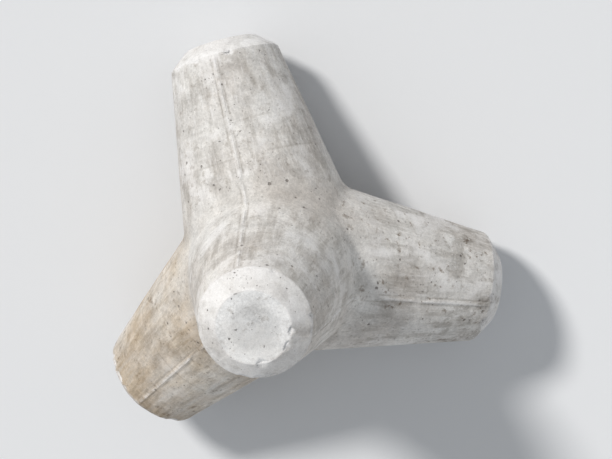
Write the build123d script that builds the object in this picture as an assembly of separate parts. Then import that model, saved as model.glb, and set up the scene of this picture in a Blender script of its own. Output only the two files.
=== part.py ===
from build123d import *
import itertools
import math
import os

# Concrete tetrapod: one plain casting whose four equal legs point to the corners of a
# tetrahedron. Each leg is a tapered cone with a flat, bevelled end. Neighbouring legs meet in
# hollow crotches. A steel mould of four shells leaves a raised seam down the side of every leg
# that faces a neighbour, and each seam runs on through the crotch to that neighbour's end.
#
# The origin is the point where the four leg axes meet. +Z runs up the upright leg, and one of
# the three legs that it stands on lies over +X. Lengths are millimetres, angles are degrees.

# The legs
LEG_LENGTH = 1816.0  # from the centre of the block to the flat end of a leg
END_DIAMETER = 852.0  # of the leg's cone at its flat end, before the bevel is cut
ROOT_DIAMETER = 1325.0  # of the leg's cone where it meets its neighbour in the crotch
END_BEVEL = 130.0  # 45 degree bevel round the flat end, along the leg and across it
CROTCH_RADIUS = 180.0  # of the hollow between two legs

# The mould seams
SEAM_HEIGHT = 9.0  # above the concrete beside it
SEAM_FOOT = 46.0  # width where it leaves the concrete
SEAM_CREST = 18.0  # width of its flat top
SEAM_STOP = 24.0  # from the seam's end to the bevel

# What follows from them
LEG_ANGLE = math.degrees(math.acos(-1 / 3))  # between the axes of any two legs
HALF_ANGLE = LEG_ANGLE / 2
ROOT_DISTANCE = ROOT_DIAMETER / 2 / math.tan(math.radians(HALF_ANGLE))  # along the leg
TAPER = (ROOT_DIAMETER - END_DIAMETER) / 2 / (LEG_LENGTH - ROOT_DISTANCE)
BEVEL_START = LEG_LENGTH - END_BEVEL

# Where each leg goes: one upright, and three tilted down and spread evenly round it. The side of
# a leg that was its +X before it was placed faces a neighbour. A cone is turned from a line that
# lies a little way round from there, clear of the seams and of where three legs meet.
STANDING_LEGS = 3
LEG_PLACES = [Location()] + [
    Rot(0, 0, n * 360 / STANDING_LEGS) * Rot(0, LEG_ANGLE, 180) for n in range(STANDING_LEGS)
]
TURNING_START = 40.0


def cone_radius(distance):
    """Radius of a leg's cone at this distance along the leg from the centre of the block."""
    return END_DIAMETER / 2 + TAPER * (LEG_LENGTH - distance)


def make_mitre():
    """The space nearer to +Z than to the three neighbours: a three-sided pyramid on its point."""
    lean = 180 - LEG_ANGLE
    slant = (LEG_LENGTH + END_BEVEL) / math.cos(math.radians(lean))  # its base clears the flat end
    edge = Vector(0, 0, slant).rotate(Axis.Y, lean)
    corners = [edge.rotate(Axis.Z, 180 + n * 360 / STANDING_LEGS) for n in range(STANDING_LEGS)]
    sides = [(Vector(), a, b) for a, b in zip(corners, corners[1:] + corners[:1])]
    return Solid(Shell([make_face(Polyline(*side, close=True)) for side in sides + [corners]]))


def make_leg():
    """One leg along +Z, turned from its half section and mitred to fit its neighbours."""
    outline = Polyline(
        (0, 0),
        (cone_radius(0), 0),
        (cone_radius(BEVEL_START), BEVEL_START),
        (END_DIAMETER / 2 - END_BEVEL, LEG_LENGTH),
        (0, LEG_LENGTH),
        close=True,
    )
    turned = Rot(0, 0, TURNING_START) * revolve(Plane.XZ * make_face(outline), Axis.Z)
    return turned & make_mitre()


def make_body():
    """The four legs fused together, with a rolling fillet along the six elliptic crotches."""
    leg = make_leg()
    legs = [place * leg for place in LEG_PLACES]
    block = legs[0] + legs[1:]
    return fillet(block.edges().filter_by(GeomType.ELLIPSE), CROTCH_RADIUS)


def seam_point(distance, side):
    """Where a seam lies on its leg: side is 1 or -1 for the leg above or below local X."""
    along = Vector(distance, 0).rotate(Axis.Z, side * HALF_ANGLE)
    out = Vector(0, -side * cone_radius(distance)).rotate(Axis.Z, side * HALF_ANGLE)
    return along + out


def make_seam():
    """One seam in the local XY plane, bent round the crotch between two legs beside X."""
    end = BEVEL_START - SEAM_STOP
    path = FilletPolyline(
        seam_point(end, 1),
        seam_point(ROOT_DISTANCE, 1),
        seam_point(end, -1),
        radius=CROTCH_RADIUS,
    )
    # The sides of the seam run on at the same slope as far below the concrete as above it.
    spread = SEAM_FOOT - SEAM_CREST / 2
    rib = Polyline(
        (-SEAM_CREST / 2, SEAM_HEIGHT),
        (-spread, -SEAM_HEIGHT),
        (spread, -SEAM_HEIGHT),
        (SEAM_CREST / 2, SEAM_HEIGHT),
        close=True,
    )
    across = Plane(path @ 0, x_dir=(0, 0, -1), z_dir=path % 0)
    return sweep(across * make_face(rib), path=path)


def make_tetrapod():
    """The whole casting, with its seam between each of the six pairs of legs."""
    seam = make_seam()
    axes = [Axis(place).direction for place in LEG_PLACES]
    seams = [
        Plane((0, 0, 0), x_dir=a + b, z_dir=b.cross(a)).location * seam
        for a, b in itertools.combinations(axes, 2)
    ]
    return make_body() + seams


os.makedirs("parts", exist_ok=True)
tetrapod = make_tetrapod()
tetrapod.label = "tetrapod"
export_step(tetrapod, "parts/tetrapod.step")
low, high = tetrapod.bounding_box().min, tetrapod.bounding_box().max
print("stands", round(high.Z - low.Z, 1), "high, its base is", round(-low.Z, 1), "below the centre")
print("volume", round(tetrapod.volume / 1e9, 4), "cubic metres")
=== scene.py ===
"""Looks of the concrete tetrapod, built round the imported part.

The casting is made again here as one closed surface, so that its worn corners, chipped seams and
uneven faces are real relief. It has two finishes: one for the faces that the steel mould formed,
and one for the flat ends. Lengths are metres, and the frame is the part's own: the origin is where
the four leg axes meet, and +Z runs up the upright leg.
"""

from __future__ import annotations

import logging
import math
from dataclasses import dataclass, field
from enum import Enum
from typing import Any, Mapping, Sequence

import bpy
import numpy as np
from mathutils import Matrix, Vector

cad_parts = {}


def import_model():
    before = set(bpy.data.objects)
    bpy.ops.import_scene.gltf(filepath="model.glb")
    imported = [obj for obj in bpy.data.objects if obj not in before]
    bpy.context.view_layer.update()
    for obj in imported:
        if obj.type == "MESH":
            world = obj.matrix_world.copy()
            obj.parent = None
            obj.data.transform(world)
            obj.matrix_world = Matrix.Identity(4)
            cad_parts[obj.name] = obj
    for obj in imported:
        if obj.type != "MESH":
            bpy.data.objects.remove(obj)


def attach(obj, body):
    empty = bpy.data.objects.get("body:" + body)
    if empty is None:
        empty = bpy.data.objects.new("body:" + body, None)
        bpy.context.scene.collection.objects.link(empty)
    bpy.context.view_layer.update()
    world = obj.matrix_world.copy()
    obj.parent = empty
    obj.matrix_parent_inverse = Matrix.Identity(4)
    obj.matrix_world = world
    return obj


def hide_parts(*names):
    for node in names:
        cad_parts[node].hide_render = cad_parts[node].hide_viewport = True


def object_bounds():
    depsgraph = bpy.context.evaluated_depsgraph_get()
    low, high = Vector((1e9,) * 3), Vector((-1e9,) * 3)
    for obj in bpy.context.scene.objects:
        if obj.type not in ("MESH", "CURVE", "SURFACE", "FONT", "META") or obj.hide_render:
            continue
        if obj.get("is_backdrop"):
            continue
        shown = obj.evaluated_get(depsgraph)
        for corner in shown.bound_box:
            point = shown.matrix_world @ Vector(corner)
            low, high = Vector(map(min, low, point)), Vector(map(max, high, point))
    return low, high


LOG = logging.getLogger("tetrapod")


def paint(red: int, green: int, blue: int) -> tuple[float, float, float, float]:
    """Turns a screen colour into the linear colour that a shader takes.

    Args:
        red: Red from 0 to 255.
        green: Green from 0 to 255.
        blue: Blue from 0 to 255.

    Returns:
        Linear red, green and blue, and an alpha of 1.
    """
    parts = [c / 255 for c in (red, green, blue)]
    linear = [p / 12.92 if p <= 0.04045 else ((p + 0.055) / 1.055) ** 2.4 for p in parts]
    return linear[0], linear[1], linear[2], 1.0


def smooth(value: np.ndarray, low: float, high: float) -> np.ndarray:
    """Rises from 0 at low to 1 at high along an S-shaped curve.

    Args:
        value: The numbers to look up.
        low: Where the curve leaves 0.
        high: Where it reaches 1.

    Returns:
        The curve's height for each number.
    """
    share = np.clip((value - low) / (high - low), 0.0, 1.0)
    return share * share * (3.0 - 2.0 * share)


def unit(vectors: np.ndarray) -> np.ndarray:
    """Makes a vector, or each row of vectors, one long."""
    return vectors / np.linalg.norm(vectors, axis=-1, keepdims=True)


class Place(Enum):
    """The two kinds of face that the casting has, in the order of its material slots."""

    FORMED = 0
    FLAT_END = 1


@dataclass(frozen=True)
class Mould:
    """Inner sizes of the steel mould, the same as in the part's source."""

    leg_length: float = 1.816
    end_diameter: float = 0.852
    root_diameter: float = 1.325
    end_bevel: float = 0.130
    crotch_radius: float = 0.180
    seam_height: float = 0.009
    seam_foot: float = 0.046
    seam_crest: float = 0.018
    seam_stop: float = 0.024

    @property
    def leg_angle(self) -> float:
        """Angle between the axes of any two legs, in radians."""
        return math.acos(-1 / 3)

    @property
    def root_distance(self) -> float:
        """Distance along a leg at which it meets its neighbour."""
        return self.root_diameter / 2 / math.tan(self.leg_angle / 2)

    @property
    def taper(self) -> float:
        """How much a leg's radius shrinks for each metre along it."""
        span = self.leg_length - self.root_distance
        return (self.root_diameter - self.end_diameter) / 2 / span

    @property
    def bevel_start(self) -> float:
        """Distance along a leg at which its end bevel starts."""
        return self.leg_length - self.end_bevel

    @property
    def flat_radius(self) -> float:
        """Radius of the flat end inside the bevel."""
        return self.end_diameter / 2 - self.end_bevel

    def cone_radius(self, along: np.ndarray | float) -> np.ndarray | float:
        """Radius of a leg's cone at a distance along the leg."""
        return self.end_diameter / 2 + self.taper * (self.leg_length - along)

    def axes(self) -> np.ndarray:
        """The four leg directions.

        Returns:
            Rows of x, y and z: the upright leg, then the three that the block stands on.
        """
        turn = np.radians([0.0, 120.0, 240.0])
        out, down = math.sin(self.leg_angle), math.cos(self.leg_angle)
        feet = np.stack([out * np.cos(turn), out * np.sin(turn), np.full(3, down)], axis=1)
        return np.vstack([[0.0, 0.0, 1.0], feet])


@dataclass(frozen=True)
class Wear:
    """Sizes of the relief that casting and the sea have left on the block.

    A pair is a range, and a span lies along a leg. Tuples of four have a number for each leg or
    mould shell.
    """

    corner_radius: float = 0.022
    long_wave: float = 0.0030
    long_wave_size: float = 0.55
    short_wave: float = 0.0011
    short_wave_size: float = 0.12
    calm_span: tuple[float, float] = (1.05, 1.50)
    calm: float = 0.8
    seam_loss: float = 0.35
    seam_wear_size: float = 0.30
    seam_break_size: float = 0.13
    seam_break: float = 0.9
    seam_wander: float = 0.002
    chips: int = 64
    chip_depth: tuple[float, float] = (0.007, 0.026)
    chip_radius: tuple[float, float] = (0.040, 0.120)
    chip_unevenness: float = 0.20
    outer_chip_share: float = 0.7
    scars: int = 9
    scar_depth: tuple[float, float] = (0.002, 0.005)
    scar_radius: tuple[float, float] = (0.30, 0.70)
    scar_span: tuple[float, float] = (0.7, 1.55)
    end_roughness: float = 0.0022
    end_wave_size: float = 0.16
    fracture: float = 0.0016
    fracture_size: float = 0.045
    rubbed_width: float = 0.014
    crotch_reach: float = 0.14
    stain_reach: float = 0.12
    leg_stain: tuple[float, float, float, float] = (0.20, 0.10, 0.10, 1.0)
    leg_specks: tuple[float, float, float, float] = (0.35, 1.0, 0.45, 0.70)
    core_span: tuple[float, float] = (0.30, 1.0)
    shell_step: float = 0.0022
    shell_tones: tuple[float, float, float, float] = (0.55, 0.0, 1.0, 0.3)
    seed: int = 7


class LatticeNoise:
    """Smooth noise in space, from random values at the corners of a cubic lattice."""

    def __init__(self, seed: int) -> None:
        """Draws the lattice values.

        Args:
            seed: Makes the same lattice on every run.
        """
        self.count = 32
        self.shift = 11.37
        self.layer_shift = 3.1
        self.values = np.random.default_rng(seed).uniform(-1.0, 1.0, (self.count,) * 3)

    def one(self, points: np.ndarray, size: float) -> np.ndarray:
        """One layer of noise: the eight lattice values round a point, blended on an S-curve.

        Args:
            points: Where to read it, as rows of x, y and z.
            size: Distance between lattice corners.

        Returns:
            A value from -1 to 1 for each point.
        """
        scaled = points / size + self.shift
        cell = np.floor(scaled).astype(int)
        share = scaled - cell
        share = share * share * (3.0 - 2.0 * share)
        total = np.zeros(len(points))
        for corner in np.ndindex(2, 2, 2):
            index = (cell + corner) % self.count
            weight = np.prod(np.where(corner, share, 1.0 - share), axis=1)
            total += weight * self.values[index[:, 0], index[:, 1], index[:, 2]]
        return total

    def layers(self, points: np.ndarray, size: float, count: int = 3) -> np.ndarray:
        """Several layers of noise, each half as coarse and half as strong as the last.

        Args:
            points: Where to read it, as rows of x, y and z.
            size: Lattice distance of the coarsest layer.
            count: Number of layers.

        Returns:
            A value from about -1 to 1 for each point.
        """
        shift = self.layer_shift
        steps = [self.one(points + shift * n, size / 2**n) / 2**n for n in range(count)]
        return sum(steps) / sum(0.5**n for n in range(count))


@dataclass
class Casting:
    """The concrete block itself, as one closed surface with its relief."""

    mould: Mould = field(default_factory=Mould)
    wear: Wear = field(default_factory=Wear)
    half_columns: int = 36
    leg_rows: int = 75
    corner_rows: int = 5
    bevel_rows: int = 9
    fill_steps: int = 14
    fill_width: float = 0.09
    leg_shift: float = 5.0

    def columns(self, radius: np.ndarray) -> np.ndarray:
        """Angles round a leg, from the side that faces a neighbour.

        The first columns keep fixed distances from the seam's middle, so that they lie on the
        edges of its foot and crest. The rest divide what is left up to 60 degrees evenly.

        Args:
            radius: The leg's radius at each row.

        Returns:
            Angles in radians, with a row for each radius.
        """
        crest, foot = self.mould.seam_crest / 2, self.mould.seam_foot / 2
        near = np.array([0.0, crest / 2, crest, (crest + foot) / 2, foot, foot * 1.5])
        fixed = near[None, :] / radius[:, None]
        share = np.linspace(0.0, 1.0, self.half_columns - len(near) + 2)[1:]
        last = fixed[:, -1:]
        half = np.hstack([fixed, last + (math.pi / 3 - last) * share[None, :]])
        return np.hstack([-half[:, :0:-1], half])

    def corner(self, before: np.ndarray, at: np.ndarray, after: np.ndarray) -> np.ndarray:
        """Rounds one corner of the leg's outline.

        The arc touches both sides of the corner. Its centre lies on the line that halves the
        corner, and its points are evenly spaced by angle.

        Args:
            before: A point on the side that leads in, as distance along and radius.
            at: The corner.
            after: A point on the side that leads out.

        Returns:
            Points along the arc, from one touching point to the other.
        """
        into, out = unit(at - before), unit(after - at)
        turn = math.acos(float(np.clip(into @ out, -1.0, 1.0)))
        reach = self.wear.corner_radius * math.tan(turn / 2)
        centre = at + unit(out - into) * self.wear.corner_radius / math.cos(turn / 2)
        start, end = at - into * reach - centre, at + out * reach - centre
        share = np.linspace(0.0, 1.0, self.corner_rows + 1)[:, None]
        arc = np.sin((1 - share) * turn) * start + np.sin(share * turn) * end
        return centre + arc / math.sin(turn)

    def end_outline(self) -> np.ndarray:
        """Outline of the leg's end: the bevel with a worn corner on either side of it.

        Returns:
            Rows of distance along the leg and radius.
        """
        mould = self.mould
        cone = np.array([1.0, float(mould.cone_radius(1.0))])
        outer = np.array([mould.bevel_start, float(mould.cone_radius(mould.bevel_start))])
        inner = np.array([mould.leg_length, mould.flat_radius])
        middle = np.array([mould.leg_length, 0.0])
        first = self.corner(cone, outer, inner)
        second = self.corner(outer, inner, middle)
        share = np.linspace(0.0, 1.0, self.bevel_rows + 1)[1:-1, None]
        return np.vstack([first, first[-1] * (1 - share) + second[0] * share, second])

    def side_net(self, axis: np.ndarray, neighbour: np.ndarray) -> np.ndarray:
        """The third of a leg that faces one neighbour, as a grid.

        Rows run from the plane halfway between the two legs out to the flat end. On the cone, a
        point at an angle round the leg lies at the distance along it where the cone reaches that
        row's share of the way out from the halfway plane.

        Args:
            axis: The leg's direction.
            neighbour: The neighbour's direction.

        Returns:
            Points by row and column.
        """
        mould = self.mould
        toward = unit(neighbour - (neighbour @ axis) * axis)
        aside = np.cross(axis, toward)
        end = self.end_outline()
        share = np.linspace(0.0, 1.0, self.leg_rows + 1)[:-1]
        near = mould.root_distance + (end[0, 0] - mould.root_distance) * share
        angles = self.columns(np.concatenate([mould.cone_radius(near), end[:, 1]]))
        lean = math.sin(mould.leg_angle) * np.cos(angles)
        start = lean * mould.cone_radius(0.0) / (4 / 3 + lean * mould.taper)
        on_cone = start[: len(share)] + (end[0, 0] - start[: len(share)]) * share[:, None]
        along = np.vstack([on_cone, np.repeat(end[:, :1], angles.shape[1], axis=1)])
        radius = np.vstack(
            [mould.cone_radius(on_cone), np.repeat(end[:, 1:], angles.shape[1], axis=1)]
        )
        across = np.cos(angles)[..., None] * toward + np.sin(angles)[..., None] * aside
        return along[..., None] * axis + radius[..., None] * across

    def end_net(self, rim: np.ndarray, middle: np.ndarray) -> np.ndarray:
        """A third of a flat end, as a square grid with one corner at its middle.

        Two of its sides are straight lines from the middle to the ends of the rim, and the other
        two are the two halves of the rim. Points inside are the sum of the blends of opposite
        sides, less the blend of the four corners.

        Args:
            rim: Points along this third of the rim.
            middle: The middle of the flat end.

        Returns:
            Points by row and column.
        """
        count = self.half_columns
        share = np.linspace(0.0, 1.0, count + 1)
        a, b = share[:, None, None], share[None, :, None]
        first, second = rim[: count + 1], rim[count:][::-1]
        low = middle + (rim[0] - middle) * a
        left = middle + (rim[-1] - middle) * b
        high, right = second[:, None, :], first[None, :, :]
        corners = (1 - a) * (1 - b) * middle + a * (1 - b) * rim[0]
        corners = corners + (1 - a) * b * rim[-1] + a * b * rim[count]
        return (1 - b) * low + b * high + (1 - a) * left + a * right - corners

    def cone_gaps(self, points: np.ndarray) -> tuple[np.ndarray, np.ndarray]:
        """Distance to each of the four cones, and the direction in which it grows.

        The distance is the gap between a point's distance from the leg's axis and the cone's
        radius there, times the cosine of the cone's slope. A leg behind the middle of the block
        doesn't count.

        Args:
            points: Rows of x, y and z.

        Returns:
            Distances by point and leg, and unit normals by point and leg.
        """
        axes, taper = self.mould.axes(), self.mould.taper
        along = points @ axes.T
        across = points[:, None, :] - along[..., None] * axes
        distance = np.linalg.norm(across, axis=2)
        across = across / np.maximum(distance, 1e-9)[..., None]
        slope = 1.0 / math.hypot(1.0, taper)
        gap = (distance - self.mould.cone_radius(along)) * slope
        gap = np.where(along > 0.02, gap, 9.0)
        return gap, (across + taper * axes) * slope

    def hollow_gap(self, points: np.ndarray) -> np.ndarray:
        """Distance to the four cones with a rolling ball's hollow between each two.

        In a corner between two surfaces, the hollow is the near side of a ball that touches both.
        The distance to it is the ball's radius less the distance to the ball's centre, which
        follows from the two gaps and the cosine between the two normals.

        Args:
            points: Rows of x, y and z.

        Returns:
            A distance for each point, above 0 outside the block.
        """
        gap, normal = self.cone_gaps(points)
        ball = self.mould.crotch_radius
        nearest = gap.min(axis=1)
        for one in range(4):
            for other in range(one + 1, 4):
                u, v = ball - gap[:, one], ball - gap[:, other]
                cosine = np.sum(normal[:, one] * normal[:, other], axis=1)
                cosine = np.clip(cosine, -0.99, 0.9999)
                squared = (u * u + v * v - 2 * u * v * cosine) / (1 - cosine**2)
                between = (u > v * cosine) & (v > u * cosine) & (u > 0) & (v > 0)
                hollow = ball - np.sqrt(np.maximum(squared, 0.0))
                nearest = np.where(between, np.minimum(nearest, hollow), nearest)
        return nearest

    def fill_hollows(self, points: np.ndarray) -> np.ndarray:
        """Moves points of the crisp cones out onto the hollows between the legs.

        Each point moves along the mean of the two nearest cones' normals, by as much as it lies
        inside, until that is nothing.

        Args:
            points: Rows of x, y and z on the cones.

        Returns:
            The points on the finished form.
        """
        gap, normal = self.cone_gaps(points)
        order = np.argsort(gap, axis=1)
        rows = np.arange(len(points))
        second = gap[rows, order[:, 1]]
        share = 0.5 * (1.0 - smooth(second, 0.0, self.fill_width))[:, None]
        way = normal[rows, order[:, 0]] * (1 - share) + normal[rows, order[:, 1]] * share
        way = unit(way)
        near = second < self.mould.crotch_radius
        moved = points.copy()
        for _ in range(self.fill_steps):
            moved[near] -= self.hollow_gap(moved[near])[:, None] * way[near]
        return moved

    def nets(self) -> tuple[list[np.ndarray], list[Place]]:
        """Makes all the grids of the casting.

        Returns:
            The grids, and what kind of face each one is.
        """
        axes = self.mould.axes()
        grids, places = [], []
        for one, axis in enumerate(axes):
            for other in (n for n in range(4) if n != one):
                side = self.side_net(axis, axes[other])
                grids += [side, self.end_net(side[-1], axis * self.mould.leg_length)[:, ::-1]]
                places += [Place.FORMED, Place.FLAT_END]
        return grids, places

    def weld(self) -> tuple[np.ndarray, np.ndarray, np.ndarray]:
        """Joins the grids along their shared borders into one closed net of four-sided faces.

        Returns:
            Points, faces as four point numbers each, and each face's kind.
        """
        grids, places = self.nets()
        points, faces, kinds, count = [], [], [], 0
        for grid, place in zip(grids, places):
            rows, columns = grid.shape[:2]
            number = count + np.arange(rows * columns).reshape(rows, columns)
            corners = [number[:-1, :-1], number[:-1, 1:], number[1:, 1:], number[1:, :-1]]
            faces.append(np.stack(corners, axis=-1).reshape(-1, 4))
            kinds.append(np.full(len(faces[-1]), place.value))
            points.append(grid.reshape(-1, 3))
            count += rows * columns
        spread = np.vstack(points)
        key = np.round(spread / 2e-5).astype(np.int64)
        _, first, link = np.unique(key, axis=0, return_index=True, return_inverse=True)
        return spread[first], link.reshape(-1)[np.vstack(faces)], np.concatenate(kinds)

    @staticmethod
    def normals(points: np.ndarray, faces: np.ndarray) -> np.ndarray:
        """Normal at each point: the sum of its faces' normals, made one long.

        Args:
            points: Rows of x, y and z.
            faces: Four point numbers for each face.

        Returns:
            Unit normals.
        """
        p = points[faces]
        each = np.cross(p[:, 2] - p[:, 0], p[:, 3] - p[:, 1])
        total = np.zeros_like(points)
        for corner in range(4):
            np.add.at(total, faces[:, corner], each)
        return unit(total)

    def leg_places(self, points: np.ndarray) -> dict[str, np.ndarray]:
        """Where each point lies on its leg.

        Args:
            points: Rows of x, y and z.

        Returns:
            The leg's number, the distance along it, the two distances across it, and the distance
            from the plane through its axis and that of the neighbour that the point faces.
        """
        axes = self.mould.axes()
        along = points @ axes.T
        order = np.argsort(-along, axis=1)
        leg, neighbour = order[:, 0], order[:, 1]
        axis, other = axes[leg], axes[neighbour]
        plane = unit(np.cross(axis, other))
        helper = axes[(leg + 1) % 4]
        toward = unit(helper - np.sum(helper * axis, axis=1)[:, None] * axis)
        aside = np.cross(axis, toward)
        return {
            "leg": leg,
            "along": np.sum(points * axis, axis=1),
            "across": np.stack([np.sum(points * toward, 1), np.sum(points * aside, 1)], axis=1),
            "from_seam": np.abs(np.sum(points * plane, axis=1)),
        }

    def seam_left(self, points: np.ndarray, along: np.ndarray) -> np.ndarray:
        """How much of the mould seams is left: worn down in places and knocked away in others.

        Args:
            points: Rows of x, y and z.
            along: The points' distances along their legs.

        Returns:
            A share of the full height for each point.
        """
        wear = self.wear
        noise = LatticeNoise(wear.seed + 1)
        stop = self.mould.bevel_start - self.mould.seam_stop
        worn = 1.0 - wear.seam_loss * smooth(noise.layers(points, wear.seam_wear_size), -0.4, 0.5)
        broken = smooth(noise.layers(points + 5.0, wear.seam_break_size, 2), 0.26, 0.40)
        run_out = smooth(along, stop - self.mould.seam_stop / 2, stop)
        return worn * (1.0 - wear.seam_break * broken) * (1.0 - run_out)

    def seam_relief(self, points: np.ndarray, at: Mapping[str, np.ndarray]) -> np.ndarray:
        """Height of the mould seams: a low ridge with a flat crest and sloping sides.

        Args:
            points: Rows of x, y and z.
            at: The points' places on their legs.

        Returns:
            A height for each point.
        """
        crest, foot = self.mould.seam_crest / 2, self.mould.seam_foot / 2
        wander = self.wear.seam_wander * LatticeNoise(self.wear.seed + 4).one(points, 0.05)
        ragged = at["from_seam"] + wander
        ridge = 1.0 - np.clip((ragged - crest) / (foot - crest), 0.0, 1.0)
        return self.mould.seam_height * ridge * self.seam_left(points, at["along"])

    def bites(
        self, points: np.ndarray, normal: np.ndarray, middles: np.ndarray, balls: np.ndarray
    ) -> np.ndarray:
        """Depth of what a set of balls takes away from the surface.

        A ball takes away what lies inside it. A point moves inward by how far it lies inside the
        ball, divided by how squarely the surface faces the ball's middle.

        Args:
            points: Rows of x, y and z.
            normal: The points' normals.
            middles: The balls' middles, outside the surface.
            balls: The balls' radii, uneven from point to point, as balls by points.

        Returns:
            A depth for each point, 0 or less.
        """
        depth = np.zeros(len(points))
        for middle, ball in zip(middles, balls):
            way = middle - points
            reach = np.linalg.norm(way, axis=1)
            facing = np.sum(normal * way, axis=1) / reach
            bite = np.maximum(ball - reach, 0.0) / np.maximum(facing, 0.4)
            depth = np.minimum(depth, -bite * (facing > 0))
        return depth

    def knocks(self, points: np.ndarray, normal: np.ndarray) -> tuple[np.ndarray, np.ndarray]:
        """Depth of the chips on the corners of the ends, and of shallow scars on the legs.

        The middle of each ball lies outside the surface by its radius less the depth it bites.
        A place is a distance along the leg, a radius there, and the angle at which the surface
        leans toward the end.

        Args:
            points: Rows of x, y and z.
            normal: The points' normals.

        Returns:
            Depths of the chips and of the scars for each point, 0 or less.
        """
        wear, mould, axes = self.wear, self.mould, self.mould.axes()
        draw = np.random.default_rng(wear.seed + 2)
        noise = LatticeNoise(wear.seed + 3)
        uneven = 1.0 + wear.chip_unevenness * noise.layers(points, 0.06)
        outer = (mould.bevel_start, float(mould.cone_radius(mould.bevel_start)), 0.48)
        inner = (mould.leg_length, mould.flat_radius, 1.15)
        chips, scars = ([], []), ([], [])
        for number in range(wear.chips + wear.scars):
            chip = number < wear.chips
            leg, turn = int(draw.integers(4)), draw.uniform(0.0, 2 * math.pi)
            ball = draw.uniform(*(wear.chip_radius if chip else wear.scar_radius))
            deep = draw.uniform(*(wear.chip_depth if chip else wear.scar_depth))
            along = draw.uniform(*wear.scar_span)
            place = (along, float(mould.cone_radius(along)), 0.17)
            if chip:
                place = outer if draw.uniform() < wear.outer_chip_share else inner
            side = unit(np.cross(axes[leg], axes[(leg + 1) % 4]))
            out = math.cos(turn) * side + math.sin(turn) * np.cross(axes[leg], side)
            way = math.cos(place[2]) * out + math.sin(place[2]) * axes[leg]
            kind = chips if chip else scars
            kind[0].append(place[0] * axes[leg] + place[1] * out + way * (ball - deep))
            kind[1].append(ball / uneven if chip else np.full(len(points), ball))
        return self.bites(points, normal, *chips), self.bites(points, normal, *scars)

    def shells(self, points: np.ndarray) -> np.ndarray:
        """Tells the mould's four shells apart: each lies on the side away from one leg.

        Args:
            points: Rows of x, y and z.

        Returns:
            The tone of each point's shell, and the mean of two tones on a seam.
        """
        behind = points @ self.mould.axes().T
        first, second = np.argsort(behind, axis=1)[:, :2].T
        rows = np.arange(len(points))
        same = (behind[rows, second] - behind[rows, first] < 1e-4)[:, None]
        value = np.array(self.wear.shell_tones)
        both = np.stack([value[first], value[second]], axis=1)
        return np.where(same, both.mean(axis=1, keepdims=True), both)[:, 0]

    def relief(self, points: np.ndarray, normal: np.ndarray) -> dict[str, np.ndarray]:
        """All the relief of the surface, and the masks that the finishes read.

        Args:
            points: Rows of x, y and z on the plain form.
            normal: The points' normals.

        Returns:
            The height to move each point by, a mask for each kind of place, and the points'
            places on their legs, set apart from leg to leg.
        """
        wear, mould = self.wear, self.mould
        noise = LatticeNoise(wear.seed)
        at = self.leg_places(points)
        along, radius = at["along"], np.linalg.norm(at["across"], axis=1)
        wave = wear.long_wave * noise.layers(points, wear.long_wave_size, 2)
        wave += wear.short_wave * noise.layers(points + 2.0, wear.short_wave_size, 3)
        calm = wear.calm * smooth(along, *wear.calm_span)
        wave -= calm * (wear.long_wave + wear.short_wave)
        flat = smooth(along, mould.leg_length - 0.004, mould.leg_length - 0.001)
        rough_end = wear.end_roughness * (1.0 + noise.layers(points + 9.0, wear.end_wave_size, 3))
        chips, scars = self.knocks(points, normal)
        broken = smooth(-chips, 0.0006, 0.0035)
        fracture = noise.layers(points + 7.0, wear.fracture_size, 3) - 1.0
        shell = self.shells(points)
        height = wave + self.seam_relief(points, at) + chips + scars - flat * rough_end
        height += broken * wear.fracture * fracture + wear.shell_step * (shell - 1.0)
        second = np.sort(self.cone_gaps(points)[0], axis=1)[:, 1]
        start = mould.bevel_start
        outer = np.hypot(along - start, radius - mould.cone_radius(start))
        inner = np.hypot(along - mould.leg_length, radius - mould.flat_radius)
        pull = np.exp((points @ mould.axes().T) / wear.stain_reach)
        pull /= pull.sum(axis=1)[:, None]
        apart = np.outer(at["leg"], (self.leg_shift, 0.0))
        return {
            "height": height,
            "crotch": np.exp(-np.maximum(second, 0.0) / wear.crotch_reach),
            "edge": np.exp(-((np.minimum(outer, inner) / wear.rubbed_width) ** 2)),
            "bevel": smooth(along, start - 0.01, start + 0.01),
            "core": 1.0 - smooth(radius / mould.flat_radius, *wear.core_span),
            "stained": pull @ np.array(wear.leg_stain),
            "speckled": pull @ np.array(wear.leg_specks),
            "seam_left": self.seam_left(points, along),
            "from_seam": at["from_seam"],
            "shell": shell,
            "under": smooth(-normal[:, 2], -0.2, 0.9),
            "broken": broken,
            "leg_place": np.column_stack([at["across"] + apart, along]),
        }

    def build(self, limits: tuple[Vector, Vector]) -> bpy.types.Object:
        """Makes the mesh and its masks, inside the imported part's box.

        Args:
            limits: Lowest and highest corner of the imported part.

        Returns:
            The casting, at the origin.
        """
        points, faces, kinds = self.weld()
        points = self.fill_hollows(points)
        normal = self.normals(points, faces)
        middle = points[faces].mean(axis=1)
        if np.sum(np.sum(middle * normal[faces[:, 0]], axis=1) > 0) < len(faces) / 2:
            faces, normal = faces[:, ::-1], -normal
        found = self.relief(points, normal)
        moved = points + found.pop("height")[:, None] * normal
        moved = np.clip(moved, np.array(limits[0]) + 2e-4, np.array(limits[1]) - 2e-4)
        mesh = bpy.data.meshes.new("tetrapod_casting")
        mesh.from_pydata(moved.tolist(), [], faces.tolist())
        mesh.polygons.foreach_set("material_index", kinds.astype(np.int32))
        mesh.polygons.foreach_set("use_smooth", np.ones(len(faces), bool))
        for name, values in found.items():
            kind, slot = ("FLOAT", "value") if values.ndim == 1 else ("FLOAT_VECTOR", "vector")
            layer = mesh.attributes.new(name, kind, "POINT")
            layer.data.foreach_set(slot, values.astype(np.float32).ravel())
        mesh.validate()
        mesh.update()
        casting = bpy.data.objects.new("tetrapod_casting", mesh)
        bpy.context.scene.collection.objects.link(casting)
        return casting


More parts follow.
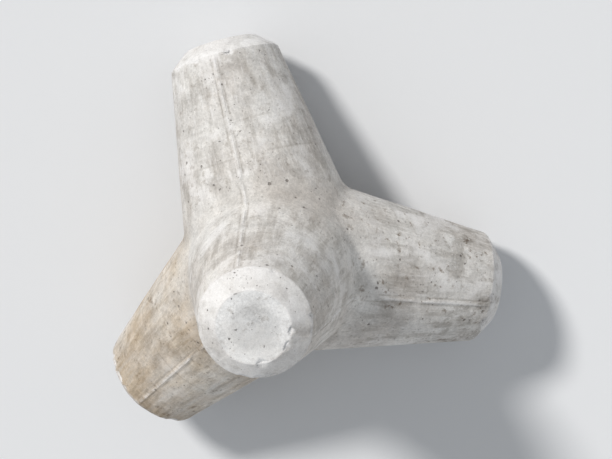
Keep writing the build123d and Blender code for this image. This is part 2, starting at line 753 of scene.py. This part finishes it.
class Wiring:
    """Adds nodes to one node tree and joins them."""

    def __init__(self, tree: bpy.types.NodeTree) -> None:
        """Starts on a tree.

        Args:
            tree: The material's or the group's node tree.
        """
        self.tree = tree
        self.count = 0

    def add(
        self, kind: str, inputs: Mapping[Any, Any] | None = None, **settings: Any
    ) -> bpy.types.Node:
        """Adds one node.

        Args:
            kind: The node's Blender type.
            inputs: Sockets to join, or values to set, by socket name or number.
            **settings: The node's own settings.

        Returns:
            The node.
        """
        node = self.tree.nodes.new(kind)
        node.location = (220 * (self.count % 12), -260 * (self.count // 12))
        self.count += 1
        for name, value in settings.items():
            setattr(node, name, value)
        for name, value in (inputs or {}).items():
            if isinstance(value, bpy.types.NodeSocket):
                self.tree.links.new(value, node.inputs[name])
            else:
                node.inputs[name].default_value = value
        return node

    def math(self, kind: str, first: Any, *others: Any) -> Any:
        """Works from left to right through two or more numbers.

        Args:
            kind: The Math node's operation.
            first: The first number or socket.
            *others: The rest of them.

        Returns:
            The socket that holds the result.
        """
        for other in others:
            node = self.add("ShaderNodeMath", {0: first, 1: other}, operation=kind)
            first = node.outputs[0]
        return first

    def plus(self, *numbers: Any) -> Any:
        """The sum of some numbers."""
        return self.math("ADD", *numbers)

    def less(self, first: Any, second: Any) -> Any:
        """The first number less the second."""
        return self.math("SUBTRACT", first, second)

    def times(self, *numbers: Any) -> Any:
        """The product of some numbers."""
        return self.math("MULTIPLY", *numbers)

    def most(self, *numbers: Any) -> Any:
        """The largest of some numbers."""
        return self.math("MAXIMUM", *numbers)

    def rise(self, value: Any, low: Any, high: Any, start: Any = 0.0, end: Any = 1.0) -> Any:
        """Goes along an S-curve from start at low to end at high.

        Args:
            value: The socket to read.
            low: Where the curve starts.
            high: Where it ends.
            start: What it gives up to low.
            end: What it gives from high on.

        Returns:
            The socket that holds the result.
        """
        inputs = {"Value": value, "From Min": low, "From Max": high}
        inputs |= {"To Min": start, "To Max": end}
        return self.add(
            "ShaderNodeMapRange", inputs, interpolation_type="SMOOTHSTEP", clamp=True
        ).outputs[0]

    def blend(self, share: Any, first: Any, second: Any, kind: str = "MIX") -> Any:
        """Mixes two colours.

        Args:
            share: How much of the second colour is mixed in.
            first: The colour below.
            second: The colour on top.
            kind: The Mix node's way of blending.

        Returns:
            The socket that holds the result.
        """
        inputs = {0: share, 6: first, 7: second}
        settings = {"data_type": "RGBA", "blend_type": kind, "clamp_factor": True}
        return self.add("ShaderNodeMix", inputs, **settings).outputs[2]

    def noise(self, place: Any, scale: Any, detail: float = 4.0, roughness: float = 0.55) -> Any:
        """Reads a noise texture, and gives the socket that holds its value."""
        inputs = {"Vector": place, "Scale": scale, "Detail": detail, "Roughness": roughness}
        return self.add("ShaderNodeTexNoise", inputs).outputs[0]

    def ragged_cells(
        self, place: Any, size: Any, wobble: tuple[float, float], reach: float
    ) -> tuple[Any, bpy.types.Node]:
        """Divides space into cells round random points, with ragged shapes inside them.

        Args:
            place: Where to read them.
            size: The cells' size.
            wobble: Scale and detail of the noise that makes the shapes ragged.
            reach: How far that noise moves them, for each unit of the cells' size.

        Returns:
            The distance from the cell's point in cell sizes, and the node that holds the three
            numbers drawn for the cell.
        """
        scale, detail = wobble
        moved = self.add("ShaderNodeTexNoise", {"Vector": place, "Scale": scale, "Detail": detail})
        nudged = self.add(
            "ShaderNodeVectorMath",
            {0: moved.outputs["Color"], 1: self.times(size, reach), 2: place},
            operation="MULTIPLY_ADD",
        ).outputs[0]
        scale = self.math("DIVIDE", 1.0, size)
        cells = self.add("ShaderNodeTexVoronoi", {"Vector": nudged, "Scale": scale})
        drawn = self.add("ShaderNodeSeparateColor", {0: cells.outputs["Color"]})
        return cells.outputs["Distance"], drawn

    def attribute(self, name: str, output: str = "Fac") -> Any:
        """Reads one of the casting's own masks."""
        return self.add("ShaderNodeAttribute", attribute_name=name).outputs[output]


class EffectGroups:
    """The effects that the finishes share, each a node group that is built once."""

    def __init__(self) -> None:
        """Builds all the groups."""
        self.patches = self.make_patches()
        self.grain = self.make_grain()
        self.air_holes = self.make_air_holes()
        self.stones = self.make_stones()
        self.streaks = self.make_streaks()

    @staticmethod
    def start(
        name: str, inputs: Mapping[str, str], outputs: Sequence[str]
    ) -> tuple[bpy.types.NodeTree, Wiring, bpy.types.NodeOutputs]:
        """Makes an empty group with its sockets.

        Args:
            name: The group's name.
            inputs: Kinds of its inputs by name.
            outputs: Names of its outputs, which are all numbers.

        Returns:
            The group, its wiring, and its inputs.
        """
        tree = bpy.data.node_groups.new(name, "ShaderNodeTree")
        for socket, kind in inputs.items():
            tree.interface.new_socket(socket, in_out="INPUT", socket_type=f"NodeSocket{kind}")
        for socket in outputs:
            tree.interface.new_socket(socket, in_out="OUTPUT", socket_type="NodeSocketFloat")
        wiring = Wiring(tree)
        return tree, wiring, wiring.add("NodeGroupInput").outputs

    def make_patches(self) -> bpy.types.NodeTree:
        """Soft-edged patches: a noise of the given size, cut between two levels.

        Returns:
            The group.
        """
        inputs = {"Place": "Vector", "Size": "Float", "Low": "Float", "High": "Float"}
        tree, w, given = self.start("patches", inputs, ["Mask"])
        cloud = w.noise(given["Place"], w.math("DIVIDE", 1.0, given["Size"]), 6.0, 0.62)
        w.add("NodeGroupOutput", {"Mask": w.rise(cloud, given["Low"], given["High"])})
        return tree

    def make_grain(self) -> bpy.types.NodeTree:
        """Sand grain and cement skin: a tone near 1 and a height in millimetres.

        Returns:
            The group.
        """
        tree, w, given = self.start("sand grain", {"Place": "Vector"}, ["Tone", "Height"])
        coarse = w.noise(given["Place"], 95.0, 5.0, 0.7)
        fine = w.noise(given["Place"], 420.0, 2.0, 0.6)
        centred = w.less(w.plus(w.times(coarse, 0.65), w.times(fine, 0.35)), 0.5)
        tone, height = w.plus(w.times(centred, 0.75), 1.0), w.times(centred, 4.0)
        w.add("NodeGroupOutput", {"Tone": tone, "Height": height})
        return tree

    def make_air_holes(self) -> bpy.types.NodeTree:
        """Air holes in the cement skin: ragged pits of many sizes, in some cells of a net.

        Returns:
            The group.
        """
        inputs = {"Place": "Vector", "Spacing": "Float", "Share": "Float"}
        tree, w, given = self.start("air holes", inputs, ["Mask", "Height"])
        distance, drawn = w.ragged_cells(given["Place"], given["Spacing"], (85.0, 3.0), 0.42)
        # Holes crowd in places. Their radius is 0.085 to 0.355 of a cell, and few are large.
        crowd = w.rise(w.noise(given["Place"], 2.3, 3.0), 0.38, 0.66, 0.25, 1.7)
        there = w.math("LESS_THAN", drawn.outputs[0], w.times(given["Share"], crowd))
        size = w.plus(w.times(w.math("POWER", drawn.outputs[1], 3.0), 0.27), 0.085)
        mask = w.times(w.rise(distance, w.times(size, 0.55), size, 1.0, 0.0), there)
        height = w.times(mask, given["Spacing"], -190.0)
        w.add("NodeGroupOutput", {"Mask": mask, "Height": height})
        return tree

    def make_stones(self) -> bpy.types.NodeTree:
        """Stones of the mix that show where the skin is gone: a tone and a height for each.

        Returns:
            The group.
        """
        inputs = {"Place": "Vector", "Size": "Float"}
        tree, w, given = self.start("bared stones", inputs, ["Tone", "Stone", "Height"])
        distance, drawn = w.ragged_cells(given["Place"], given["Size"], (75.0, 4.0), 1.1)
        # A little over half of the cells have a stone, 0.26 to 0.50 of a cell in radius.
        size = w.rise(drawn.outputs[2], 0.0, 1.0, 0.26, 0.50)
        stone = w.rise(distance, w.times(size, 0.6), size, 1.0, 0.0)
        stone = w.times(stone, w.math("LESS_THAN", drawn.outputs[1], 0.55))
        tone = w.rise(drawn.outputs[0], 0.0, 1.0, 0.70, 1.06)
        w.add("NodeGroupOutput", {"Tone": tone, "Stone": stone, "Height": w.times(stone, 0.7)})
        return tree

    def make_streaks(self) -> bpy.types.NodeTree:
        """Marks that run along a leg: noise that is many times longer than it is wide.

        Returns:
            The group.
        """
        inputs = {"Leg Place": "Vector", "Width": "Float", "Length": "Float"}
        tree, w, given = self.start("lengthwise streaks", inputs, ["Mask"])
        parts = w.add("ShaderNodeSeparateXYZ", {0: given["Leg Place"]}).outputs
        spans = (given["Width"], given["Width"], given["Length"])
        shares = {n: w.math("DIVIDE", parts[n], span) for n, span in enumerate(spans)}
        place = w.add("ShaderNodeCombineXYZ", shares).outputs[0]
        w.add("NodeGroupOutput", {"Mask": w.noise(place, 1.0, 4.0, 0.6)})
        return tree


class Patch(Enum):
    """Masks of soft patches: size in metres, two levels to cut between, and a shift to read at."""

    DULL = (0.62, 0.36, 0.66, 0.0)
    # Patches of the painted shade on the faces that look down.
    UNDERSIDE = (0.45, 0.25, 0.60, 10.0)
    BLEACHED = (0.34, 0.50, 0.64, 14.0)
    SPECKS = (0.060, 0.55, 0.68, 8.0)
    SPECK_CROWDS = (0.40, 0.36, 0.55, 2.0)
    BANDS = (0.50, 0.35, 0.60, 7.0)
    LIFT_LINES = (0.30, 0.44, 0.66, 6.0)
    # Patches of the painted shade in the crotches between the legs.
    CROTCH_SHADE = (0.24, 0.34, 0.66, 3.0)
    # Patches of the painted shade at the feet of the seams.
    SEAM_FOOT_SHADE = (0.16, 0.34, 0.58, 9.0)
    PALE_BEVEL = (0.22, 0.22, 0.55, 5.5)
    RUBBED = (0.05, 0.36, 0.60, 5.0)
    OPEN_MIX = (0.26, 0.50, 0.62, 12.0)
    SHINE = (0.30, 0.35, 0.65, 1.0)


class Noise(Enum):
    """Plain noises: scale for each metre, detail and roughness."""

    CLOUDS = (8.0, 7.0, 0.68)
    FLECKS = (46.0, 4.0, 0.70)
    TAN = (1.3, 5.0, 0.60)
    LEVEL = (1.7, 2.0, 0.55)
    BANDS = (7.0, 3.0, 0.60)
    RAGGED = (38.0, 3.0, 0.55)
    CORE = (6.0, 5.0, 0.55)
    SKIN = (17.0, 5.0, 0.60)
    FRACTURE = (55.0, 4.0, 0.70)


class Step(Enum):
    """Smooth steps: the two ends in what is read, and what they give there."""

    CLOUD_TONE = (0.28, 0.72, 0.82, 1.11)
    FLECK_TONE = (0.30, 0.70, 0.85, 1.11)
    IN_CROTCH = (0.25, 0.75, 0.0, 1.0)
    DEEP_CROTCH = (0.40, 1.0, 0.0, 1.0)
    WIDE_STREAK = (0.46, 0.66, 0.0, 1.0)
    THIN_STREAK = (0.52, 0.68, 0.0, 1.0)
    TAN_CLOUD = (0.30, 0.62, 0.30, 1.0)
    TAN_STREAK = (0.25, 0.60, 0.55, 1.0)
    BAND = (0.32, 0.68, 0.0, 1.0)
    LIFT_LINE = (0.0, 0.014, 1.0, 0.0)
    SEAM_CREST = (0.0085, 0.0115, 1.0, 0.0)
    SEAM_SIDE = (0.019, 0.025, 0.0, 1.0)
    PAST_SEAM = (0.027, 0.045, 1.0, 0.0)
    END_MIDDLE = (0.20, 0.85, 0.0, 1.0)
    OUTER_LEG = (1.05, 1.45, 0.0, 1.0)
    ROUGHNESS = (0.0, 1.0, 0.84, 0.93)


Colour = tuple[int, int, int]


@dataclass(frozen=True)
class ConcreteFinish:
    """One kind of weathered concrete surface, with its colours as seen on a screen.

    Sizes are metres, and names that end in height are millimetres. A streak has a width and a
    length. A pore's size and crowding are shares of an air hole's. The rest are strengths.
    """

    name: str
    clean: Colour
    dull: Colour
    tan: Colour
    # Grime, and the painted shade in the crotches, on the faces that look down, at the seams' feet
    # and in the gaps of open mix.
    grime_and_shade: Colour
    worn: Colour
    # Painted shade inside the air holes and pores.
    hole: Colour
    speck: Colour
    tan_share: float
    hole_spacing: float
    hole_share: float
    bared: float
    edge_worn: float
    streak_strength: float = 0.0
    band_strength: float = 0.0
    bevel_worn: float = 0.0
    core_strength: float = 0.0
    honeycomb: float = 0.0
    shell_contrast: float = 0.0
    mottle: float = 0.85
    # Strength of the painted shade on the faces that look down.
    underside_shade: float = 0.45
    bleach: float = 0.60
    specks: float = 0.90
    # Strength of the painted shade in the crotches.
    crotch_shade: float = 0.22
    # Strength of the painted shade at the seams' feet.
    seam_foot_shade: float = 0.50
    crest_worn: float = 0.80
    rub_strength: float = 0.60
    # Strength of the painted shade in the gaps of open mix.
    gap_shade: float = 0.65
    stone_strength: float = 0.85
    # Strength of the painted shade in the air holes and pores.
    pit_shade_strength: float = 0.70
    pore_strength: float = 0.80
    pore_size: float = 0.42
    pore_crowd: float = 1.4
    stone_size: float = 0.024
    first_lift: float = 0.55
    lift: float = 0.29
    seam_wander: float = 0.008
    wide_streak: tuple[float, float] = (0.085, 1.5)
    thin_streak: tuple[float, float] = (0.022, 0.8)
    skin_height: float = 5.0
    fracture_height: float = 5.0
    crest_height: float = 1.6
    line_height: float = -2.0
    gap_height: float = -2.2


class ConcreteMaterial(Wiring):
    """One concrete material, whose colour and height in millimetres are laid on in layers."""

    def __init__(self, finish: ConcreteFinish, groups: EffectGroups) -> None:
        """Builds the material.

        Args:
            finish: The colours and strengths of its layers.
            groups: The shared effects.
        """
        self.material = bpy.data.materials.new(finish.name)
        self.material.use_nodes = True
        self.material.node_tree.nodes.clear()
        super().__init__(self.material.node_tree)
        self.finish, self.groups = finish, groups
        self.place = self.add("ShaderNodeTexCoord").outputs["Object"]
        self.leg_place = self.attribute("leg_place", "Vector")
        self.wide = self.streaks(*finish.wide_streak)
        self.away = self.less(1.0, self.step(self.attribute("crotch"), Step.IN_CROTCH))
        along = self.add("ShaderNodeSeparateXYZ", {0: self.leg_place}).outputs[2]
        self.along = self.plus(along, self.times(self.cloud(Noise.LEVEL), 0.05))
        clean, dull = paint(*finish.clean), paint(*finish.dull)
        self.colour = self.blend(self.patches(Patch.DULL), clean, dull)
        self.height = self.times(self.cloud(Noise.SKIN), finish.skin_height)
        self.mottle()
        self.streak()
        self.stain()
        self.mark_lifts()
        crest, foot = self.seam()
        self.paint_hollow_shade(foot)
        self.bare_stones(self.rub(crest))
        self.pit()
        self.output()

    def group(self, tree: bpy.types.NodeTree, inputs: Mapping[str, Any]) -> Any:
        """Places one shared effect, and gives its outputs."""
        return self.add("ShaderNodeGroup", inputs, node_tree=tree).outputs

    def patches(self, kind: Patch) -> Any:
        """A mask of soft patches, read from its own part of the noise.

        Args:
            kind: Which patches.

        Returns:
            The socket that holds the mask.
        """
        size, low, high, shift = kind.value
        moved = self.add(
            "ShaderNodeVectorMath", {0: self.place, 1: (shift, shift, shift)}, operation="ADD"
        ).outputs[0]
        inputs = {"Place": moved, "Size": size, "Low": low, "High": high}
        return self.group(self.groups.patches, inputs)["Mask"]

    def cloud(self, kind: Noise) -> Any:
        """One of the plain noises."""
        return self.noise(self.place, *kind.value)

    def step(self, value: Any, kind: Step) -> Any:
        """Puts a value through one of the smooth steps."""
        return self.rise(value, *kind.value)

    def streaks(self, width: float, length: float) -> Any:
        """A mask of marks that run along the leg."""
        inputs = {"Leg Place": self.leg_place, "Width": width, "Length": length}
        return self.group(self.groups.streaks, inputs)["Mask"]

    def tint(self, share: Any, colour: Colour) -> None:
        """Multiplies the colour so far by another, in a mask's share."""
        self.colour = self.blend(share, self.colour, paint(*colour), "MULTIPLY")

    def cover(self, share: Any, colour: Colour) -> None:
        """Lays another colour over the one so far, in a mask's share."""
        self.colour = self.blend(share, self.colour, paint(*colour))

    def raise_by(self, share: Any, height: Any = 1.0) -> None:
        """Adds a height to the one so far, in a mask's share."""
        self.height = self.plus(self.height, self.times(share, height))

    def mottle(self) -> None:
        """Clouds and flecks, the mould shells' tones, and painted shade on the faces that look
        down.
        """
        finish = self.finish
        clouds = self.step(self.cloud(Noise.CLOUDS), Step.CLOUD_TONE)
        flecks = self.step(self.cloud(Noise.FLECKS), Step.FLECK_TONE)
        for tone in (clouds, flecks):
            self.colour = self.blend(finish.mottle, self.colour, tone, "MULTIPLY")
        shell = self.rise(self.attribute("shell"), 0.0, 1.0, finish.shell_contrast, 0.0)
        self.tint(shell, finish.grime_and_shade)
        # Painted shade: darker on the faces that look down, in patches.
        under = self.times(self.attribute("under"), self.patches(Patch.UNDERSIDE))
        self.tint(self.times(under, finish.underside_shade), finish.grime_and_shade)

    def streak(self) -> None:
        """Dark and pale marks along the legs, and bleached patches, away from the crotches."""
        finish = self.finish
        share = self.times(self.away, finish.streak_strength)
        self.tint(self.times(self.step(self.wide, Step.WIDE_STREAK), share), finish.grime_and_shade)
        thin = self.step(self.streaks(*finish.thin_streak), Step.THIN_STREAK)
        self.cover(self.times(thin, share), finish.worn)
        self.cover(self.times(self.patches(Patch.BLEACHED), self.away, finish.bleach), finish.worn)

    def stain(self) -> None:
        """The tan stain and the dark specks, on the legs that have them."""
        finish = self.finish
        tan = self.step(self.cloud(Noise.TAN), Step.TAN_CLOUD)
        tan = self.times(tan, self.step(self.wide, Step.TAN_STREAK))
        self.tint(self.times(tan, self.attribute("stained"), finish.tan_share), finish.tan)
        specks = self.times(self.patches(Patch.SPECKS), self.patches(Patch.SPECK_CROWDS))
        specks = self.times(specks, self.attribute("speckled"), finish.specks)
        self.tint(specks, finish.speck)

    def mark_lifts(self) -> None:
        """Bands round a leg, and a thin groove where each lift of concrete ended."""
        finish = self.finish
        level = self.add("ShaderNodeCombineXYZ", {2: self.along}).outputs[0]
        band = self.step(self.noise(level, *Noise.BANDS.value), Step.BAND)
        band = self.times(band, self.away, self.patches(Patch.BANDS), finish.band_strength)
        self.tint(band, finish.grime_and_shade)
        line = self.math("PINGPONG", self.less(self.along, finish.first_lift), finish.lift / 2)
        line = self.times(self.step(line, Step.LIFT_LINE), self.away)
        line = self.times(line, self.patches(Patch.LIFT_LINES), finish.band_strength)
        self.tint(line, finish.grime_and_shade)
        self.raise_by(line, finish.line_height)

    def seam(self) -> tuple[Any, Any]:
        """Finds the mould seams, with a ragged edge.

        Returns:
            The masks of a seam's crest and of the concrete at its foot, as far as it is left.
        """
        seam_left = self.attribute("seam_left")
        ragged = self.times(self.less(self.cloud(Noise.RAGGED), 0.5), self.finish.seam_wander)
        ragged = self.plus(self.attribute("from_seam"), ragged)
        foot = self.times(self.step(ragged, Step.SEAM_SIDE), self.step(ragged, Step.PAST_SEAM))
        crest = self.step(ragged, Step.SEAM_CREST)
        return self.times(crest, seam_left), self.times(foot, seam_left)

    def paint_hollow_shade(self, foot: Any) -> None:
        """Painted shade: darker in the crotches between the legs and at the seams' feet.

        Args:
            foot: The mask of the concrete at the seams' feet.
        """
        finish = self.finish
        # Painted shade in the crotches between the legs.
        hollow = self.step(self.attribute("crotch"), Step.DEEP_CROTCH)
        hollow = self.times(hollow, self.patches(Patch.CROTCH_SHADE), finish.crotch_shade)
        # Painted shade along the feet of the seams.
        beside = self.times(foot, self.patches(Patch.SEAM_FOOT_SHADE), finish.seam_foot_shade)
        self.tint(self.most(hollow, beside), finish.grime_and_shade)

    def rub(self, crest: Any) -> Any:
        """The grey middle of an end, the pale bevel, and rubbed corners, crests and chips.

        Args:
            crest: The mask of the seams' crests.

        Returns:
            The mask of what is rubbed or broken.
        """
        finish, broken = self.finish, self.attribute("broken")
        wander = self.times(self.less(self.cloud(Noise.CORE), 0.5), 1.1)
        core = self.step(self.plus(self.attribute("core"), wander), Step.END_MIDDLE)
        self.tint(self.times(core, finish.core_strength), finish.grime_and_shade)
        bevel = self.times(self.attribute("bevel"), self.patches(Patch.PALE_BEVEL))
        self.cover(self.times(bevel, finish.bevel_worn), finish.worn)
        corners = self.times(self.attribute("edge"), finish.edge_worn)
        rub = self.most(corners, self.times(crest, finish.crest_worn))
        rub = self.most(self.times(rub, self.patches(Patch.RUBBED)), broken)
        self.cover(self.times(rub, finish.rub_strength), finish.worn)
        self.raise_by(crest, finish.crest_height)
        self.raise_by(self.times(broken, self.cloud(Noise.FRACTURE)), finish.fracture_height)
        return rub

    def bare_stones(self, rub: Any) -> None:
        """Stones where the skin is gone, and gaps between them where the mix is open, with painted
        shade in the gaps.

        Args:
            rub: The mask of what is rubbed or broken.
        """
        finish = self.finish
        inputs = {"Place": self.place, "Size": finish.stone_size}
        stones = self.group(self.groups.stones, inputs)
        open_mix = self.times(self.step(self.along, Step.OUTER_LEG), self.attribute("speckled"))
        open_mix = self.times(open_mix, self.patches(Patch.OPEN_MIX), finish.honeycomb)
        gaps = self.times(open_mix, self.less(1.0, stones["Stone"]))
        # Painted shade in the gaps between the stones.
        self.tint(self.times(gaps, finish.gap_shade), finish.grime_and_shade)
        self.raise_by(gaps, finish.gap_height)
        bared = self.times(self.most(rub, finish.bared, open_mix), stones["Stone"])
        toned = self.blend(1.0, self.colour, stones["Tone"], "MULTIPLY")
        self.colour = self.blend(self.times(bared, finish.stone_strength), self.colour, toned)
        self.raise_by(bared, stones["Height"])

    def pit(self) -> None:
        """Air holes and smaller pores with painted shade in them, and the sand grain over
        everything.
        """
        finish = self.finish
        inputs = {"Place": self.place, "Spacing": finish.hole_spacing, "Share": finish.hole_share}
        holes = self.group(self.groups.air_holes, inputs)
        inputs["Spacing"] *= finish.pore_size
        inputs["Share"] *= finish.pore_crowd
        pores = self.group(self.groups.air_holes, inputs)
        pits = self.most(holes["Mask"], self.times(pores["Mask"], finish.pore_strength))
        # Painted shade inside the air holes and pores.
        self.cover(self.times(pits, finish.pit_shade_strength), finish.hole)
        grain = self.group(self.groups.grain, {"Place": self.place})
        self.colour = self.blend(1.0, self.colour, grain["Tone"], "MULTIPLY")
        for effect in (holes, pores, grain):
            self.raise_by(effect["Height"])

    def output(self) -> None:
        """Joins the colour, the height and the roughness to the shader."""
        inputs = {"Height": self.height, "Distance": 0.001, "Strength": 1.0}
        bump = self.add("ShaderNodeBump", inputs).outputs[0]
        inputs = {"Base Color": self.colour, "Normal": bump, "Specular IOR Level": 0.35}
        inputs["Roughness"] = self.step(self.patches(Patch.SHINE), Step.ROUGHNESS)
        shader = self.add("ShaderNodeBsdfPrincipled", inputs)
        self.add("ShaderNodeOutputMaterial", {"Surface": shader.outputs[0]})


FORMED_CONCRETE = ConcreteFinish(
    name="formed concrete",
    clean=(233, 232, 230),
    dull=(210, 206, 202),
    tan=(229, 210, 184),
    grime_and_shade=(171, 165, 157),
    worn=(238, 237, 237),
    hole=(108, 100, 92),
    speck=(165, 154, 142),
    tan_share=0.95,
    hole_spacing=0.046,
    hole_share=0.20,
    bared=0.14,
    edge_worn=0.75,
    streak_strength=0.38,
    band_strength=0.28,
    bevel_worn=0.50,
    honeycomb=0.8,
    shell_contrast=0.20,
)

FLAT_END_CONCRETE = ConcreteFinish(
    name="flat end concrete",
    clean=(237, 238, 239),
    dull=(225, 225, 225),
    tan=(224, 203, 174),
    grime_and_shade=(157, 157, 158),
    worn=(236, 236, 236),
    hole=(100, 94, 88),
    speck=(162, 151, 139),
    tan_share=0.6,
    hole_spacing=0.040,
    hole_share=0.24,
    bared=0.30,
    edge_worn=0.50,
    core_strength=0.28,
)


@dataclass
class Studio:
    """The floor, the light and the camera round the block.

    to_sun is along the picture's right, its up, and the way back to the camera.
    """

    floor_width: float = 160.0
    floor_colour: Colour = (226, 227, 229)
    backdrop_colour: Colour = (229, 230, 231)
    to_camera: tuple[float, float, float] = (0.034, 0.287, 0.957)
    picture_up: tuple[float, float, float] = (-0.228, 0.935, -0.272)
    lens: float = 240.0
    sensor: float = 36.0
    picture_shape: float = 459 / 612
    fill: float = 0.86
    clip: tuple[float, float] = (0.5, 400.0)
    sun_strength: float = 2.65
    sun_softness: float = 10.0
    sun_colour: tuple[float, float, float] = (1.0, 0.98, 0.95)
    to_sun: tuple[float, float, float] = (-0.55, 0.37, 0.75)
    sky_strength: float = 0.45
    sky_colour: tuple[float, float, float, float] = (0.93, 0.965, 1.0, 1.0)

    def picture_axes(self) -> tuple[Vector, Vector, Vector]:
        """Directions in the picture, each square to the others.

        Returns:
            The picture's right, its up, and the way back to the camera.
        """
        back = Vector(self.to_camera).normalized()
        right = Vector(self.picture_up).cross(back).normalized()
        return right, back.cross(right), back

    def floor(self, level: float) -> bpy.types.Object:
        """Lays a plain floor under the block.

        Args:
            level: Height of the lowest point of the block.

        Returns:
            The floor.
        """
        half = self.floor_width / 2
        corners = [(-half, -half, level), (half, -half, level), (half, half, level)]
        mesh = bpy.data.meshes.new("floor")
        mesh.from_pydata([*corners, (-half, half, level)], [], [(0, 1, 2, 3)])
        material = bpy.data.materials.new("plain floor")
        material.use_nodes = True
        shader = material.node_tree.nodes["Principled BSDF"]
        shader.inputs["Base Color"].default_value = paint(*self.floor_colour)
        shader.inputs["Roughness"].default_value = 0.95
        shader.inputs["Specular IOR Level"].default_value = 0.1
        mesh.materials.append(material)
        floor = bpy.data.objects.new("floor", mesh)
        bpy.context.scene.collection.objects.link(floor)
        floor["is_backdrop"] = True
        return floor

    def light(self) -> None:
        """Sets a soft sun to the left of the picture, and a plain sky that looks like the floor."""
        lamp = bpy.data.lights.new("soft sun", "SUN")
        lamp.energy = self.sun_strength
        lamp.angle = math.radians(self.sun_softness)
        lamp.color = self.sun_colour
        sun = bpy.data.objects.new("soft sun", lamp)
        to_sun = Matrix(self.picture_axes()).transposed() @ Vector(self.to_sun)
        sun.rotation_euler = to_sun.to_track_quat("Z", "Y").to_euler()
        bpy.context.scene.collection.objects.link(sun)
        world = bpy.data.worlds.new("plain sky")
        world.use_nodes = True
        world.node_tree.nodes.clear()
        w = Wiring(world.node_tree)
        path = w.add("ShaderNodeLightPath")
        seen = w.most(path.outputs["Is Camera Ray"], path.outputs["Is Glossy Ray"])
        strength = w.rise(seen, 0.0, 1.0, self.sky_strength, 1.0)
        colour = w.blend(seen, self.sky_colour, paint(*self.backdrop_colour))
        sky = w.add("ShaderNodeBackground", {"Color": colour, "Strength": strength})
        w.add("ShaderNodeOutputWorld", {"Surface": sky.outputs[0]})
        bpy.context.scene.world = world

    def camera(self, block: bpy.types.Object) -> bpy.types.Object:
        """Looks down on the block from the photograph's side, through a long lens.

        The camera aims at the middle of the block's outline in the picture, and stands off until
        the outline fills its share of the picture's height or width.

        Args:
            block: What to look at.

        Returns:
            The camera.
        """
        right, up, back = self.picture_axes()
        data = bpy.data.cameras.new("drone camera")
        data.lens, data.sensor_width = self.lens, self.sensor
        points = np.empty(3 * len(block.data.vertices), np.float32)
        block.data.vertices.foreach_get("co", points)
        seen = points.reshape(-1, 3) @ np.array([right, up, back]).T
        middle, span = (seen.max(axis=0) + seen.min(axis=0)) / 2, np.ptp(seen, axis=0)
        width = max(span[0], span[1] / self.picture_shape) / self.fill
        distance = width * self.lens / self.sensor
        camera = bpy.data.objects.new("drone camera", data)
        turned = Matrix((right, up, back)).transposed()
        aim = turned @ Vector(middle)
        camera.matrix_world = Matrix.LocRotScale(aim + back * distance, turned, None)
        data.clip_start, data.clip_end = self.clip
        bpy.context.scene.collection.objects.link(camera)
        bpy.context.scene.camera = camera
        return camera


def main() -> None:
    """Builds the casting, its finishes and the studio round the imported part."""
    logging.basicConfig(level=logging.INFO, format="%(name)s: %(message)s")
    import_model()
    cad_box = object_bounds()
    bpy.context.scene.view_settings.view_transform = "Standard"

    casting = Casting().build(cad_box)
    groups = EffectGroups()
    for finish in (FORMED_CONCRETE, FLAT_END_CONCRETE):
        casting.data.materials.append(ConcreteMaterial(finish, groups).material)
    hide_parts("tetrapod")
    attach(casting, "root")
    LOG.info("%s: %d faces", casting.name, len(casting.data.polygons))

    studio = Studio()
    visual_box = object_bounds()
    studio.floor(visual_box[0].z)
    studio.light()
    studio.camera(casting)


if __name__ == "__main__":
    main()
